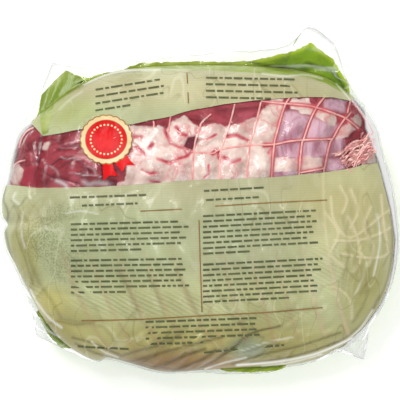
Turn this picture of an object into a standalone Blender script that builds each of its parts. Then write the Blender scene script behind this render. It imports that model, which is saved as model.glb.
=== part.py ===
"""A netted, boneless leg of lamb sealed in a printed shrink bag, lying with its back panel up.

The pack is one closed solid. Its dome is the shown side, where the meat swells between the
strings of the net, its belly is the side it rests on, and the empty film stands out round
the seam between them: a narrow hem, the flap of the bag's sealed end and three loose ears.
X runs along the pack's width, Y towards the sealed end and Z up. The origin lies under the
middle of the pack's box.
"""

import math

import bmesh
import bpy
import numpy as np

MM = 0.001

# Heights, in millimetres
SEAM_HEIGHT = 33.0
DOME_HEIGHT = 40.0
TAPER = 0.07
SEAM_SWAY = 2.5
FILM_THICKNESS = 1.4

# How the dome and the belly round off. A higher fullness keeps the middle flat for longer
DOME_FULLNESS = 2.3
DOME_ROUNDNESS = 1.95
BELLY_ROUNDNESS = 2.0
RESTING_SHARE = 0.55

# The seam's outline, in millimetres, anticlockwise from the right-hand side
SEAM_MIDDLE = (0.0, -7.0)
SEAM = (
    (128.5, -8.0),
    (127.0, 3.0),
    (124.0, 17.0),
    (119.5, 31.0),
    (116.0, 47.0),
    (109.0, 59.5),
    (99.0, 70.0),
    (86.0, 79.0),
    (70.0, 84.0),
    (53.0, 87.0),
    (30.0, 88.5),
    (0.0, 89.0),
    (-26.5, 88.5),
    (-47.5, 86.5),
    (-66.0, 82.0),
    (-82.0, 74.0),
    (-97.0, 64.0),
    (-110.0, 53.0),
    (-120.0, 43.0),
    (-124.5, 26.5),
    (-127.0, 13.0),
    (-130.5, 0.0),
    (-130.0, -10.5),
    (-126.8, -16.0),
    (-129.0, -22.0),
    (-127.0, -32.0),
    (-122.0, -42.0),
    (-117.0, -52.0),
    (-110.0, -66.0),
    (-102.5, -79.0),
    (-92.5, -91.5),
    (-82.0, -99.5),
    (-72.5, -104.5),
    (-66.0, -105.6),
    (-60.5, -103.8),
    (-47.5, -107.0),
    (-31.0, -111.8),
    (-18.5, -113.3),
    (0.0, -112.3),
    (27.0, -110.6),
    (54.5, -109.2),
    (69.5, -107.0),
    (80.5, -103.5),
    (92.5, -97.0),
    (103.0, -89.5),
    (111.0, -81.5),
    (118.5, -71.0),
    (124.5, -57.5),
    (128.0, -43.0),
    (130.2, -28.0),
)
HEM_WIDTH = 1.6

# The empty film beyond the hem, as the corners of its edge, in millimetres
SEALED_END = (
    (112.8, 56.0),
    (105.6, 65.5),
    (100.5, 72.5),
    (95.5, 82.5),
    (92.0, 95.5),
    (88.5, 103.5),
    (81.5, 109.5),
    (76.0, 113.2),
    (71.0, 114.2),
    (68.0, 112.5),
    (64.5, 107.5),
    (58.5, 102.5),
    (50.0, 99.7),
    (33.5, 98.0),
    (0.0, 95.7),
    (-22.5, 94.0),
    (-39.5, 92.0),
    (-54.0, 88.8),
    (-68.5, 86.8),
    (-79.0, 87.3),
    (-88.5, 89.0),
    (-97.7, 90.8),
    (-101.0, 82.0),
    (-105.0, 72.0),
    (-110.0, 62.0),
    (-115.5, 53.0),
    (-120.5, 45.5),
)
LOWER_LEFT_EAR = (
    (-119.0, -52.0),
    (-113.5, -64.5),
    (-110.5, -76.0),
    (-108.0, -90.2),
    (-103.0, -92.2),
    (-97.7, -94.6),
    (-91.5, -98.0),
    (-83.5, -100.8),
)
LOWER_EDGE = (
    (4.0, -113.9),
    (30.0, -114.6),
    (45.0, -114.2),
    (57.0, -110.6),
)
LOWER_RIGHT_EAR = (
    (90.0, -100.5),
    (95.5, -101.5),
    (100.3, -103.0),
    (108.2, -105.6),
    (110.4, -95.5),
    (111.6, -84.5),
    (114.0, -79.5),
)
LOOSE_FILM = (SEALED_END, LOWER_LEFT_EAR, LOWER_EDGE, LOWER_RIGHT_EAR)

# How far each ear's tip curls up from the seam or droops: bearing in degrees, width, lift
EAR_CURLS = (
    (59.0, 12.0, 5.0),
    (135.0, 11.0, -3.5),
    (218.0, 10.0, -8.0),
    (318.0, 9.0, -6.0),
)
RIPPLE_HEIGHT = 0.8
RIPPLE_LENGTH = 23.0

# Lobes of the meat: middle, half widths along X and Y, and height, in millimetres
LOBES = (
    (-115.0, 33.0, 13.0, 17.0, 7.0),
    (-84.0, 24.0, 19.0, 22.0, 4.5),
    (-28.0, 34.0, 28.0, 22.0, 3.5),
    (14.0, 50.0, 22.0, 16.0, 1.5),
    (70.0, 42.0, 30.0, 24.0, 3.0),
    (-94.0, -30.0, 26.0, 30.0, 5.0),
    (-18.0, -46.0, 48.0, 30.0, 3.0),
    (88.0, -30.0, 30.0, 40.0, 4.5),
)

# Creases between the lobes: ends, depth and half width, in millimetres
CREASES = (
    ((-102.0, 50.0), (-107.0, 6.0), 6.0, 5.0),
    ((-131.0, -16.5), (-113.0, -11.0), 7.0, 5.0),
    ((-93.0, -79.0), (-76.0, -84.0), 2.5, 4.0),
)

# The net: strings along Y bow out to the left, and strings along X cross them
STRING_PITCH = 17.8
STRING_SHIFT = 12.3
STRING_BOW = 0.0031
STRING_BOW_MIDDLE = 6.5
CROSS_PITCH = 29.0
CROSS_SHIFT = 34.5
NET_DEPTH = 2.4

# Gathers of the film towards the middle of the lower edge
GATHER_MIDDLE = (-8.0, -99.0)
GATHER_SIZE = (44.0, 13.0)
GATHER_BEARING = math.radians(34.0)
GATHER_PITCH = 15.0
GATHER_HEIGHT = 2.2

# Facets: a square grid pressed into a disc covers the crown, and rings go on from there
CROWN_CELLS = 40
CROWN_SHARE = 0.8
RIBS = 4 * CROWN_CELLS
DOME_RINGS = 9
FILM_RINGS = 2
BELLY_RINGS = 8


def smooth_loop(points, steps=12):
    """Points of a smooth closed curve through the given ones."""
    knots = np.array(points)
    before, after, beyond = (np.roll(knots, shift, axis=0) for shift in (1, -1, -2))
    curve = []
    for share in np.arange(steps) / steps:
        curve.append(
            knots
            + (after - before) * share / 2
            + (2 * before - 5 * knots + 4 * after - beyond) * share**2 / 2
            + (3 * knots - before - 3 * after + beyond) * share**3 / 2
        )
    return np.stack(curve, axis=1).reshape(-1, 2)


def polar(points):
    """Bearings, rising, and distances of points as seen from the middle of the seam."""
    offsets = np.array(points) - SEAM_MIDDLE
    bearings = np.arctan2(offsets[:, 1], offsets[:, 0]) % math.tau
    order = np.argsort(bearings)
    return bearings[order], np.hypot(*offsets.T)[order]


def seam_reach(bearings):
    """Distance from the middle out to the seam."""
    return np.interp(bearings, *polar(smooth_loop(SEAM)), period=math.tau)


def film_reach(bearings):
    """Distance from the middle out to the edge of the film."""
    reach = seam_reach(bearings) + HEM_WIDTH
    for edge in LOOSE_FILM:
        known, distances = polar(edge)
        inside = (bearings >= known[0]) & (bearings <= known[-1])
        reach[inside] = np.maximum(reach, np.interp(bearings, known, distances))[inside]
    return reach


def rib_bearings():
    """Bearings that space the ribs evenly along the film's edge, one on each corner of it."""
    fine = np.linspace(0.0, math.tau, 7200, endpoint=False)
    reach = film_reach(fine)
    edge = np.stack([reach * np.cos(fine), reach * np.sin(fine)], axis=1)
    steps = np.hypot(*(np.roll(edge, -1, axis=0) - edge).T)
    length = np.concatenate([[0.0], np.cumsum(steps)[:-1]])
    bearings = np.interp(np.arange(RIBS) * steps.sum() / RIBS, length, fine)
    for edge in LOOSE_FILM:
        for corner in polar(edge)[0][1:-1]:
            bearings[np.argmin(np.abs(bearings - corner))] = corner
    return np.sort(bearings)


def around(bearings, middle, width):
    """A bump of height one about a bearing, all in radians."""
    apart = (bearings - middle + math.pi) % math.tau - math.pi
    return np.exp(-((apart / width) ** 2))


def seam_height(bearings, share=1.0):
    """Height that the dome rises from. It sways with the bearing, but not in the middle."""
    return SEAM_HEIGHT + SEAM_SWAY * share**2 * np.sin(2 * bearings + 0.7)


def lobes(x, y):
    return sum(
        height * np.exp(-(((x - at_x) / wide) ** 2) - ((y - at_y) / deep) ** 2)
        for at_x, at_y, wide, deep, height in LOBES
    )


def creases(x, y):
    """Depth of the creases, which are straight and fade out past their ends."""
    depth = np.zeros_like(x)
    for start, end, deepest, half_width in CREASES:
        run = np.subtract(end, start)
        share = ((x - start[0]) * run[0] + (y - start[1]) * run[1]) / run.dot(run)
        share = np.clip(share, 0.0, 1.0)
        apart = np.hypot(x - start[0] - share * run[0], y - start[1] - share * run[1])
        depth += deepest * np.exp(-((apart / half_width) ** 2))
    return depth


def net_swell(x, y):
    """Height to which the meat swells inside each mesh of the net."""
    bow = STRING_BOW * (y - STRING_BOW_MIDDLE) ** 2
    along_x = (x - STRING_SHIFT - bow) / STRING_PITCH
    along_y = (y - CROSS_SHIFT) / CROSS_PITCH
    return NET_DEPTH * (np.sin(math.pi * along_x) * np.sin(math.pi * along_y)) ** 2


def gathers(x, y):
    """Height of the folds drawn up towards the middle of the lower edge."""
    off_x, off_y = x - GATHER_MIDDLE[0], y - GATHER_MIDDLE[1]
    across = off_y * math.cos(GATHER_BEARING) - off_x * math.sin(GATHER_BEARING)
    fade = np.exp(-((off_x / GATHER_SIZE[0]) ** 2) - (off_y / GATHER_SIZE[1]) ** 2)
    return GATHER_HEIGHT * fade * np.sin(math.tau * across / GATHER_PITCH)


def place(bearings, reach, height):
    """Points at these distances from the middle, in metres."""
    x = SEAM_MIDDLE[0] + reach * np.cos(bearings)
    y = SEAM_MIDDLE[1] + reach * np.sin(bearings)
    return np.stack([x, y, height + np.zeros_like(x)], axis=-1) * MM


def dome(bearings, share):
    """Points of the dome at these shares of the way out to the seam."""
    reach = share * seam_reach(bearings)
    x = SEAM_MIDDLE[0] + reach * np.cos(bearings)
    y = SEAM_MIDDLE[1] + reach * np.sin(bearings)
    rise = np.maximum(0.0, 1 - share**DOME_FULLNESS) ** (1 / DOME_ROUNDNESS)
    body = DOME_HEIGHT * (1 - TAPER * x / SEAM[0][0]) + lobes(x, y) - creases(x, y)
    swell = rise * (body + net_swell(x, y) + gathers(x, y))
    return place(bearings, reach, seam_height(bearings, share) + FILM_THICKNESS / 2 + swell)


def film_ring(bearings, share, side):
    """The ring of the film at this share of the way from seam to edge. Side is 1 or -1."""
    inner = seam_reach(bearings)
    reach = inner + share * (film_reach(bearings) - inner)
    lift = sum(
        rise * around(bearings, math.radians(at), math.radians(width))
        for at, width, rise in EAR_CURLS
    )
    ripple = RIPPLE_HEIGHT * np.sin(math.tau * bearings * reach / RIPPLE_LENGTH)
    height = seam_height(bearings) + lift * share**1.3 + ripple * share
    return place(bearings, reach, height + side * FILM_THICKNESS / 2)


def belly_ring(bearings, share):
    """The ring of the belly at this share of the way from the flat it rests on to the seam."""
    reach = (RESTING_SHARE + share * (1 - RESTING_SHARE)) * seam_reach(bearings)
    rise = 1 - (1 - share**BELLY_ROUNDNESS) ** (1 / BELLY_ROUNDNESS)
    return place(bearings, reach, rise * (seam_height(bearings) - FILM_THICKNESS / 2))


def crown_grid(bearings):
    """Points of the crown on a square grid, and the grid places round its rim, rib by rib.

    The grid is pressed into a disc so that its rim meets the ribs, which are not evenly
    turned. Towards the middle the turn evens out.
    """
    side = np.linspace(-1.0, 1.0, CROWN_CELLS + 1)
    across, along = np.meshgrid(side, side, indexing="ij")
    wide = np.abs(across) > np.abs(along)
    radius = np.where(wide, across, along)
    other = np.where(wide, along, across)
    slant = np.divide(other, radius, out=np.zeros_like(radius), where=radius != 0)
    turn = np.where(wide, slant, 2 - slant) * math.pi / 4
    turn = (turn + np.where(radius < 0, math.pi, 0.0)) % math.tau
    even = np.arange(RIBS + 1) / RIBS * math.tau
    uneven = np.interp(turn, even, np.append(bearings, bearings[0] + math.tau))
    bearing = turn + (uneven - turn) * radius**2
    points = dome(bearing, CROWN_SHARE * np.abs(radius))
    on_rim = np.argwhere(np.maximum(np.abs(across), np.abs(along)) == 1.0)
    return points, on_rim[np.argsort(turn[tuple(on_rim.T)])]


def rings(bearings):
    """Every ring below the crown: down the dome, out and back along the film, and under."""
    found = []
    for step in range(1, DOME_RINGS + 1):
        left = (1 - step / DOME_RINGS) ** 1.8
        found.append(dome(bearings, 1 - (1 - CROWN_SHARE) * left + np.zeros(RIBS)))
    for step in range(1, FILM_RINGS + 1):
        found.append(film_ring(bearings, step / FILM_RINGS, 1))
    for step in range(FILM_RINGS, -1, -1):
        found.append(film_ring(bearings, step / FILM_RINGS, -1))
    for step in range(BELLY_RINGS - 1, -1, -1):
        found.append(belly_ring(bearings, math.sin(math.pi / 2 * step / BELLY_RINGS)))
    return found


def halves(corners):
    """The two triangles of a cell, cut along its shorter diagonal."""
    a, b, c, d = corners
    if (a.co - c.co).length <= (b.co - d.co).length:
        return (a, b, c), (a, c, d)
    return (b, c, d), (b, d, a)


def pack_mesh():
    """The closed mesh of the pack, moved so that the origin is under the middle of its box."""
    bearings = rib_bearings()
    crown, rim = crown_grid(bearings)
    loops = rings(bearings)
    every = np.concatenate(loops)
    shift = (every.min(axis=0) + every.max(axis=0)) / 2
    shift[2] = 0.0
    mesh = bmesh.new()
    grid = [[mesh.verts.new(point - shift) for point in column] for column in crown]
    for left, right in zip(grid[:-1], grid[1:], strict=True):
        for row in range(CROWN_CELLS):
            corners = (left[row], right[row], right[row + 1], left[row + 1])
            for face in halves(corners):
                mesh.faces.new(face)
    verts = [[grid[column][row] for column, row in rim]]
    verts += [[mesh.verts.new(point - shift) for point in ring] for ring in loops]
    for inner, outer in zip(verts[:-1], verts[1:], strict=True):
        for rib in range(RIBS):
            beside = (rib + 1) % RIBS
            mesh.faces.new((inner[rib], outer[rib], outer[beside]))
            mesh.faces.new((inner[rib], outer[beside], inner[beside]))
    mesh.faces.new(verts[-1][::-1])
    return mesh


def printed_film():
    """The bag's pale, grey-green printed film."""
    material = bpy.data.materials.new("printed_film")
    material.use_nodes = True
    shader = material.node_tree.nodes["Principled BSDF"]
    shader.inputs["Base Color"].default_value = (0.58, 0.57, 0.36, 1.0)
    shader.inputs["Roughness"].default_value = 0.22
    shader.inputs["Metallic"].default_value = 0.0
    return material


def filled_bag():
    data = bpy.data.meshes.new("filled_bag")
    mesh = pack_mesh()
    mesh.to_mesh(data)
    mesh.free()
    data.materials.append(printed_film())
    data.shade_smooth()
    data.set_sharp_from_angle(angle=math.radians(50.0))
    bag = bpy.data.objects.new("filled_bag", data)
    bpy.context.scene.collection.objects.link(bag)
    return bag


def main():
    for old in list(bpy.data.objects):
        bpy.data.objects.remove(old)
    filled_bag()


main()
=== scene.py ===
"""Looks of a netted leg of lamb sealed in its printed shrink bag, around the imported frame."""

import math

import bpy
import numpy as np
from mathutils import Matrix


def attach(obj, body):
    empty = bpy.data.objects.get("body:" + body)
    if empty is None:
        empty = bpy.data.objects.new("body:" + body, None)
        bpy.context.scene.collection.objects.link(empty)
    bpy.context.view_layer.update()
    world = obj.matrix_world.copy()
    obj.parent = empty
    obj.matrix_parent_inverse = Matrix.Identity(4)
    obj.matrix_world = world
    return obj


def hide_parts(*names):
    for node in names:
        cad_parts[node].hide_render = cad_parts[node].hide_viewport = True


bl_info = {
    "name": "Netted lamb pack",
    "version": (1, 0, 0),
    "blender": (4, 5, 0),
    "location": "View3D > Sidebar > Lamb pack",
    "description": "Builds the film, print, net and meat of a packed leg of lamb",
    "category": "Add Mesh",
}

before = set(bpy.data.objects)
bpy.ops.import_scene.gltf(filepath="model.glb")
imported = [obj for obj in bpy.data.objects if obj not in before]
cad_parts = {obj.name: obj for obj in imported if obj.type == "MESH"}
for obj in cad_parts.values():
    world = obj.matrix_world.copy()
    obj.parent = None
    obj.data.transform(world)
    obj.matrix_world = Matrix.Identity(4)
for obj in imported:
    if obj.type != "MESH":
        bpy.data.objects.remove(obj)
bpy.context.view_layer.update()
NODE = "filled_bag"

MM = 0.001

# The photograph is 400 pixels each way, and one of its pixels is this many millimetres
PHOTO_MIDDLE = 200.0
PHOTO_SCALE = 0.66

# The bag's form, in millimetres, as the frame has it
SEAM_HEIGHT = 33.0
DOME_HEIGHT = 40.0
TAPER = 0.07
SEAM_SWAY = 2.5
SEAM_SWAY_START = 0.7
FILM_THICKNESS = 1.4
DOME_FULLNESS = 2.3
DOME_ROUNDNESS = 1.95
BELLY_ROUNDNESS = 2.0
RESTING_SHARE = 0.55

# The seam, as seen from above
SEAM_MIDDLE = (0.0, -7.0)
SEAM = (
    (128.5, -8), (127, 3), (124, 17), (119.5, 31), (116, 47), (109, 59.5), (99, 70), (86, 79),
    (70, 84), (53, 87), (30, 88.5), (0, 89), (-26.5, 88.5), (-47.5, 86.5), (-66, 82), (-82, 74),
    (-97, 64), (-110, 53), (-120, 43), (-124.5, 26.5), (-127, 13), (-130.5, 0), (-130, -10.5),
    (-126.8, -16), (-129, -22), (-127, -32), (-122, -42), (-117, -52), (-110, -66), (-102.5, -79),
    (-92.5, -91.5), (-82, -99.5), (-72.5, -104.5), (-66, -105.6), (-60.5, -103.8), (-47.5, -107),
    (-31, -111.8), (-18.5, -113.3), (0, -112.3), (27, -110.6), (54.5, -109.2), (69.5, -107),
    (80.5, -103.5), (92.5, -97), (103, -89.5), (111, -81.5), (118.5, -71), (124.5, -57.5),
    (128, -43), (130.2, -28),
)

# The hem past the seam, and the edges of the loose film
HEM_WIDTH = 1.6
SEALED_END = (
    (112.8, 56), (105.6, 65.5), (100.5, 72.5), (95.5, 82.5), (92, 95.5), (88.5, 103.5),
    (81.5, 109.5), (76, 113.2), (71, 114.2), (68, 112.5), (64.5, 107.5), (58.5, 102.5), (50, 99.7),
    (33.5, 98), (0, 95.7), (-22.5, 94), (-39.5, 92), (-54, 88.8), (-68.5, 86.8), (-79, 87.3),
    (-88.5, 89), (-97.7, 90.8), (-101, 82), (-105, 72), (-110, 62), (-115.5, 53), (-120.5, 45.5),
)
LOWER_LEFT_EAR = (
    (-119, -52), (-113.5, -64.5), (-110.5, -76), (-108, -90.2), (-103, -92.2), (-97.7, -94.6),
    (-91.5, -98), (-83.5, -100.8),
)
LOWER_EDGE = (
    (4, -113.9), (30, -114.6), (45, -114.2), (57, -110.6),
)
LOWER_RIGHT_EAR = (
    (90, -100.5), (95.5, -101.5), (100.3, -103), (108.2, -105.6), (110.4, -95.5), (111.6, -84.5),
    (114, -79.5),
)
LOOSE_FILM = (SEALED_END, LOWER_LEFT_EAR, LOWER_EDGE, LOWER_RIGHT_EAR)

# Curls of the ears: bearing and width in degrees, and rise
EAR_CURLS = (
    (59, 12, 5), (135, 11, -3.5), (218, 10, -8), (318, 9, -6),
)
EAR_CURVE = 1.3
RIPPLE_HEIGHT = 0.8
RIPPLE_LENGTH = 23.0

# Lobes of the muscle: middle, width, depth and height
LOBES = (
    (-115, 33, 13, 17, 7), (-84, 24, 19, 22, 4.5), (-28, 34, 28, 22, 3.5), (14, 50, 22, 16, 1.5),
    (70, 42, 30, 24, 3), (-94, -30, 26, 30, 5), (-18, -46, 48, 30, 3), (88, -30, 30, 40, 4.5),
)

# Creases: both ends, depth and half width
CREASES = (
    ((-102, 50), (-107, 6), 6, 5),
    ((-131, -16.5), (-113, -11), 7, 5),
    ((-93, -79), (-76, -84), 2.5, 4),
)

# The net under the film, and the gathers at the bottom edge
STRING_PITCH = 17.8
STRING_SHIFT = 12.3
STRING_BOW = 0.0031
STRING_BOW_MIDDLE = 6.5
CROSS_PITCH = 29.0
CROSS_SHIFT = 34.5
NET_DEPTH = 2.4
GATHER_MIDDLE = (-8.0, -99.0)
GATHER_SIZE = (44.0, 13.0)
GATHER_BEARING = math.radians(34.0)
GATHER_PITCH = 15.0
GATHER_HEIGHT = 2.2

# Points of the smooth seam between two of its corners, and of the whole edge of the film
SEAM_STEPS = 12
EDGE_POINTS = 7200

# Rings of the sheets, as shares of the way out to the seam, and over one past it
CROWN_SHARE = 0.8
OUTER_RINGS = 26
OUTER_SHARES = 1 - 0.2 * (1 - np.arange(1, OUTER_RINGS + 1) / OUTER_RINGS) ** 1.6
LOOSE_RINGS = 12
LOOSE_SHARES = 1 + np.arange(1, LOOSE_RINGS + 1) / LOOSE_RINGS
BELLY_RINGS = 24
BELLY_RISE = np.sin(math.pi / 2 * np.arange(1, BELLY_RINGS + 1) / BELLY_RINGS)
BELLY_SHARES = RESTING_SHARE + (1 - RESTING_SHARE) * BELLY_RISE
FRONT_CELLS = 110

# The meat under the film, in millimetres: gap, grooves as width and depth, swell of the fat,
# and its drop under the print, from this far outside the window and over this run
MEAT_GAP = 0.75
STRING_GROOVE = (1.6, 0.5)
SEAM_GROOVE = (1.2, 0.9)
FAT_PAD = 0.35
FAT_EDGE = 2.0
MEAT_DROP = 3.0
MEAT_DROP_FROM = (3.9, 3.0)

# Added to the distance from the strings left of the fat, so their painted shade is fainter there,
# and to that from a pit
PALE_BESIDE = 1.4
PIT_EDGE = 0.4

# Share of the way in from the seam, and more of it about the knot: bearing and width in degrees
MEAT_INSET = 0.012
KNOT_INSET = 0.062
KNOT_BEARINGS = (-14.0, 32.0)

# The film over the net: width in millimetres, and height or strength. The strings show to
# the right of and below these places, fully after the second number
STRING_RIDGE = (1.1, 0.3)
STRAND_RIDGE = (1.1, 0.7)
STRING_SHOWN = (0.9, 0.6)
STRAND_SHOWN = (0.8, 0.5)
STRING_STAIN = (1.5, 0.3)
SHOWN_RIGHT = (60.0, 40.0)
STAINED_BELOW = (28.0, 20.0)

# How far past its outline the window's tight film reaches, in millimetres, and the lowest
# and highest wrinkle of the film there and under the print
WINDOW_MARGIN = 3.0
WINDOW_WRINKLES = (-0.15, 1.0)
PRINT_WRINKLES = (-1.6, 1.8)

# The print's edge and the loose film, in millimetres; a whole share is about this long
PRINT_PAST_SEAM = 0.6
SHARE_LENGTH = 60.0
WELL_PRINTED = 5.0
LOOSE_LIFT = 0.2
OLIVE = 0.6
OLIVE_ABOVE = (80.0, 6.0)
OLIVE_LEFT = (-60.0, 40.0)

# Milkiness, painted light and creases of the clear film, from nought to one; at edges with the
# width in shares
# Painted light: milky white over the right-hand hem and round the window's rim, in place of the
# film's highlights
HEM_PAINTED_LIGHT = 0.7
HEM_PAINTED_LIGHT_RUN = 1.5
HEM_END = 1.2
RIM_PAINTED_LIGHT = (0.016, 0.6)
EDGE_HAZE = (0.05, 0.75)
LOOSE_HAZE = 0.2
FRONT_HAZE = 0.6
LOOSE_CREASED = 0.22
EDGE_CREASED = (0.06, 0.7)

# One wrinkle: range of its length and width in millimetres, and of its share of the rise, and
# the spread of its bearing in degrees
WRINKLE_LENGTHS = (6.0, 18.0)
WRINKLE_WIDTHS = (0.8, 2.0)
WRINKLE_RISES = (0.4, 1.0)
WRINKLE_TURN = 14.0

# Where the back panel is clear, in pixels of the photograph
WINDOW = (
    (27, 120), (34, 126), (44, 136.5), (60, 134), (82, 129.5), (108, 127), (133, 125), (150, 121),
    (165, 118.4), (173, 116.6), (182, 113.2), (194, 110.3), (211, 107.5), (222, 105.2),
    (240, 102.9), (255, 101), (274, 99.5), (291, 98.3), (308, 97.5), (333, 98), (349, 101),
    (362, 96), (420, 96), (420, 163), (377, 163), (362, 165), (350, 168.6), (342, 170),
    (315, 173.5), (277, 177), (238, 179), (191, 180.5), (160, 183), (133, 185), (102, 187),
    (70, 187.5), (38, 188), (13, 185), (-20, 184), (-20, 118),
)
PRINT_RIGHT = (
    (-60, -60), (362, -60), (362, 98), (364, 128), (377, 162), (387, 200), (390, 213), (394, 240),
    (392, 265), (388, 285), (380, 304), (364, 326), (346, 344), (328, 353), (328, 460), (-60, 460),
)
ABOVE_CREST = (
    (-60, 118), (27, 118), (44, 112), (68, 94), (84, 84), (100, 76), (113, 71.5), (128, 69),
    (160, 69), (200, 69.5), (251, 73), (271, 75), (306, 76.5), (326, 84), (348, 97), (372, 99),
    (460, 99), (460, -60), (-60, -60),
)
EAR_STRIP = (
    (66, 70), (54, 81), (41.5, 95), (40, 108), (40.5, 122), (43, 135), (49, 133.5), (51, 118),
    (55, 102), (66, 92), (84, 79),
)
GREEN_EDGE = (
    (40, 140), (36, 122), (41.5, 96), (55, 82), (66, 71), (78, 76), (90, 78), (105, 72), (118, 72),
    (130, 66), (145, 62), (172, 62), (200, 61), (225, 62), (247, 61), (271, 56.5), (289, 52),
    (299, 49), (310, 42.5), (318, 48.5), (334, 60), (342, 74.5), (349, 84), (350, 97), (356, 118),
    (368, 160), (378, 200), (380, 240), (376, 270), (364, 305), (362, 322), (364, 330), (363, 339),
    (358, 347), (352, 355), (340, 353), (334, 346), (300, 356), (285, 366), (283, 370), (250, 373),
    (222, 371), (214, 362), (160, 356), (116, 346), (90, 340), (76, 340), (71, 348.5), (62, 348.5),
    (50, 337), (42, 324), (36.5, 312), (42, 305), (30, 280), (20, 250), (16, 215), (18, 180),
    (22, 150),
)

# Meat behind the window, in pixels of the photograph
FAT_MASSES = (
    (
        (130, 127), (143.6, 126), (152.7, 127.4), (158.5, 126), (164, 128), (166.5, 132),
        (173, 122), (184.5, 117), (192.6, 123), (199.4, 127.6), (204, 128), (210, 124.7),
        (215.5, 124), (225, 127), (234, 126), (245, 121.8), (256.5, 117.6), (261, 111), (268, 105),
        (271, 99), (283, 99), (284, 112), (278, 131), (274, 145), (272, 160), (270, 182),
        (190, 188), (133, 192), (126, 184), (127, 168), (134, 150),
    ),
    ((290, 99), (309, 98.6), (310, 105), (314, 109), (310, 116), (299.5, 113), (290, 109.5)),
    ((314, 114), (319.6, 110.7), (335, 113), (335, 127), (330, 125.6), (322.5, 122), (315, 118.7)),
    ((350, 122), (357.6, 129), (344.4, 138), (335, 139), (338.7, 131), (346.7, 122)),
    ((350, 118.7), (357, 115), (361.7, 122), (360.5, 126.7), (355, 124.4)),
    ((274, 159), (300, 157), (322, 158), (322, 168), (299, 171), (273, 172)),
    ((12, 163), (18, 163), (24, 170), (24, 185), (13, 187), (10, 176)),
    ((360, 153), (378, 153), (378, 164), (362, 166)),
    ((118, 183), (133, 180), (133, 192), (106, 192)),
    ((52, 140.5), (53.6, 143.5), (46, 151.5), (43.4, 150), (45.5, 144)),
)
CRIMSON_SEAMS = (
    ((135, 137.7), (142, 137)),
    ((136.7, 147.5), (141, 151), (145, 155)),
    ((150, 148.6), (153, 145)),
    ((158, 159), (163, 160.7), (170, 163.5), (178, 159.7), (187, 156.3)),
    ((165.4, 130), (167.7, 135.4), (170.7, 144), (178, 147), (188, 150)),
    ((207.5, 139.6), (215.5, 135.6)),
    ((227, 136.7), (237, 136), (248, 141)),
    ((151, 181), (159.6, 182.5)),
    ((185, 151), (188, 156), (192, 151)),
    ((143, 170), (150, 174), (158, 173)),
    ((208.6, 166), (208.6, 174), (204, 178)),
    ((176, 127), (180, 134), (186, 136)),
    ((224, 158), (232, 163), (240, 160)),
    ((264.5, 147), (272, 147), (268, 152.6)),
    ((212.6, 154.5), (217.8, 150.5), (219, 158)),
)
# Pits, painted deep red as shade
SHADED_PITS = (
    ((184, 147), (188, 138), (196.6, 136.7), (199.4, 141), (195, 145), (192.6, 150.5)),
    ((108, 181), (118, 181), (117, 186.5), (109, 187)),
    ((40, 137), (43, 136), (42, 145), (41, 163), (37, 164), (39.5, 150)),
)
BLOODY = (
    ((24.7, 169), (32, 164.5), (37, 167), (37, 188), (20, 187)),
    ((353, 131), (360, 130), (373, 137), (373, 146), (360, 149), (352, 143)),
    ((346.7, 106), (350, 112), (356, 116), (346.7, 116)),
)
# Creases between the lobes, painted deep red as shade
CREASE_SHADE_LINES = (
    ((62, 137), (60, 143), (66, 147), (78, 146), (88, 142)),
    ((52, 166), (60, 160), (72, 158), (84, 163), (90, 172)),
    ((100, 160), (104, 170), (103, 181)),
    ((44, 172), (54, 178), (68, 180), (80, 184)),
    ((28, 146), (34, 154), (36, 163)),
    ((57, 150), (69, 149.6), (79, 148)),
    ((43, 136), (41, 142), (40, 163), (36.7, 173), (34.4, 187.5)),
    ((35, 124), (28, 131), (22, 142), (19, 152), (15, 163)),
)
SILVERSKIN = (
    ((276, 112), (290, 110), (345, 126), (345, 156), (300, 160), (273, 158)),
    ((272, 158), (345, 158), (345, 180), (270, 182)),
    ((322, 98), (347, 98), (347, 113), (322, 110)),
    ((137, 154), (154, 154), (154, 171), (140, 170)),
)

# The net's strings where the window shows them, in pixels of the photograph
LONG_STRINGS = (
    ((211, 115), (202, 123), (199.4, 131), (197, 137), (195, 144), (193, 163), (192.6, 180)),
    ((234.5, 105), (231, 119.5), (227, 132), (222.4, 146), (220.4, 152), (219, 179)),
    ((260.5, 103), (257.6, 115), (253, 133.6), (249.6, 145), (246.7, 176)),
    ((288.6, 99), (284.6, 106), (280, 120), (277, 131), (273.7, 144.5), (271, 176)),
    ((324, 97.5), (316, 108), (309, 122), (303, 139), (301, 144.5), (298.4, 173)),
    (
        (350, 113), (346.7, 117.6), (344.4, 119), (338.7, 127), (331.8, 139), (329.5, 142),
        (326.6, 153), (323.8, 166), (322.6, 172.7),
    ),
)
RIGHT_OF_FAT = (262.0, 140.0)
CROSS_STRINGS = (
    (
        (191, 152), (212, 154), (220, 150), (248, 146), (272.6, 145), (288, 142), (302.4, 140.5),
        (319.6, 140), (331, 139.4),
    ),
    (
        (260.5, 102), (285, 104.4), (306, 106), (316, 108.4), (325, 111), (344.4, 118.7),
        (357.6, 129),
    ),
    ((299.5, 173), (311, 171), (322.5, 168.6)),
)
SIDE_STRINGS = (
    ((33, 124), (25, 130), (19, 140), (15, 149), (12.6, 156), (11.5, 162)),
    ((34, 128), (27, 132), (22, 140), (20, 148)),
    ((27, 160.5), (20, 162), (15, 166), (11, 172), (8.6, 179)),
    ((153.9, 122), (154.5, 126), (153.6, 130)),
    ((171, 116.5), (170, 122), (168.8, 132.6)),
    ((350.8, 98.6), (353.6, 104.4), (360, 113), (367.4, 124.4), (372, 133), (375, 140.5)),
    ((349.6, 101), (348, 108), (346.7, 114)),
)
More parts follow.
